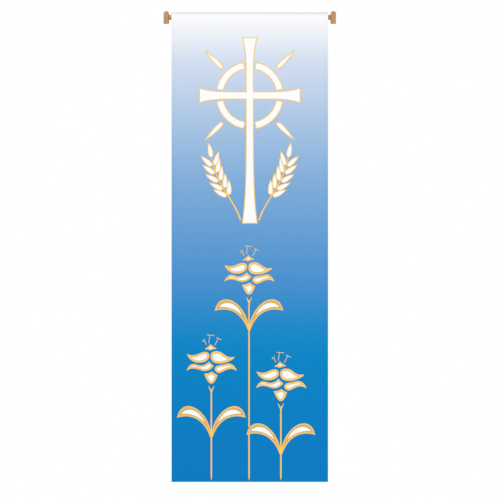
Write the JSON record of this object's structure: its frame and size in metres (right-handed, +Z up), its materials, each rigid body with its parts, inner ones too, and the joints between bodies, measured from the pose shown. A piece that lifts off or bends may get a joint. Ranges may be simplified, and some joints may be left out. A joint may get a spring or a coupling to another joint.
{
  "type": "church banner on a wooden rod",
  "caption": "Tall narrow embroidered cloth that fades from white to blue, with gold-edged flowers, sewn in a pocket over a wooden rod with end blocks.",
  "frame": {"origin": "on the rod's axis, half way along it", "axes": "+Z up, +X along the rod to the right of somebody who faces the banner, -Y out of the banner's front"},
  "size_m": [0.672, 0.039, 1.8345],
  "materials": {
    "cloth": "matte",
    "white_thread": "satin",
    "gold_thread": "satin",
    "sewing_thread": "satin",
    "rod_wood": "satin",
    "block_wood": "satin"
  },
  "bodies": {
    "root": {"banner_cloth": "cloth", "rod": "rod_wood", "end_block_left": "block_wood", "end_block_right": "block_wood"}
  },
  "joints": []
}
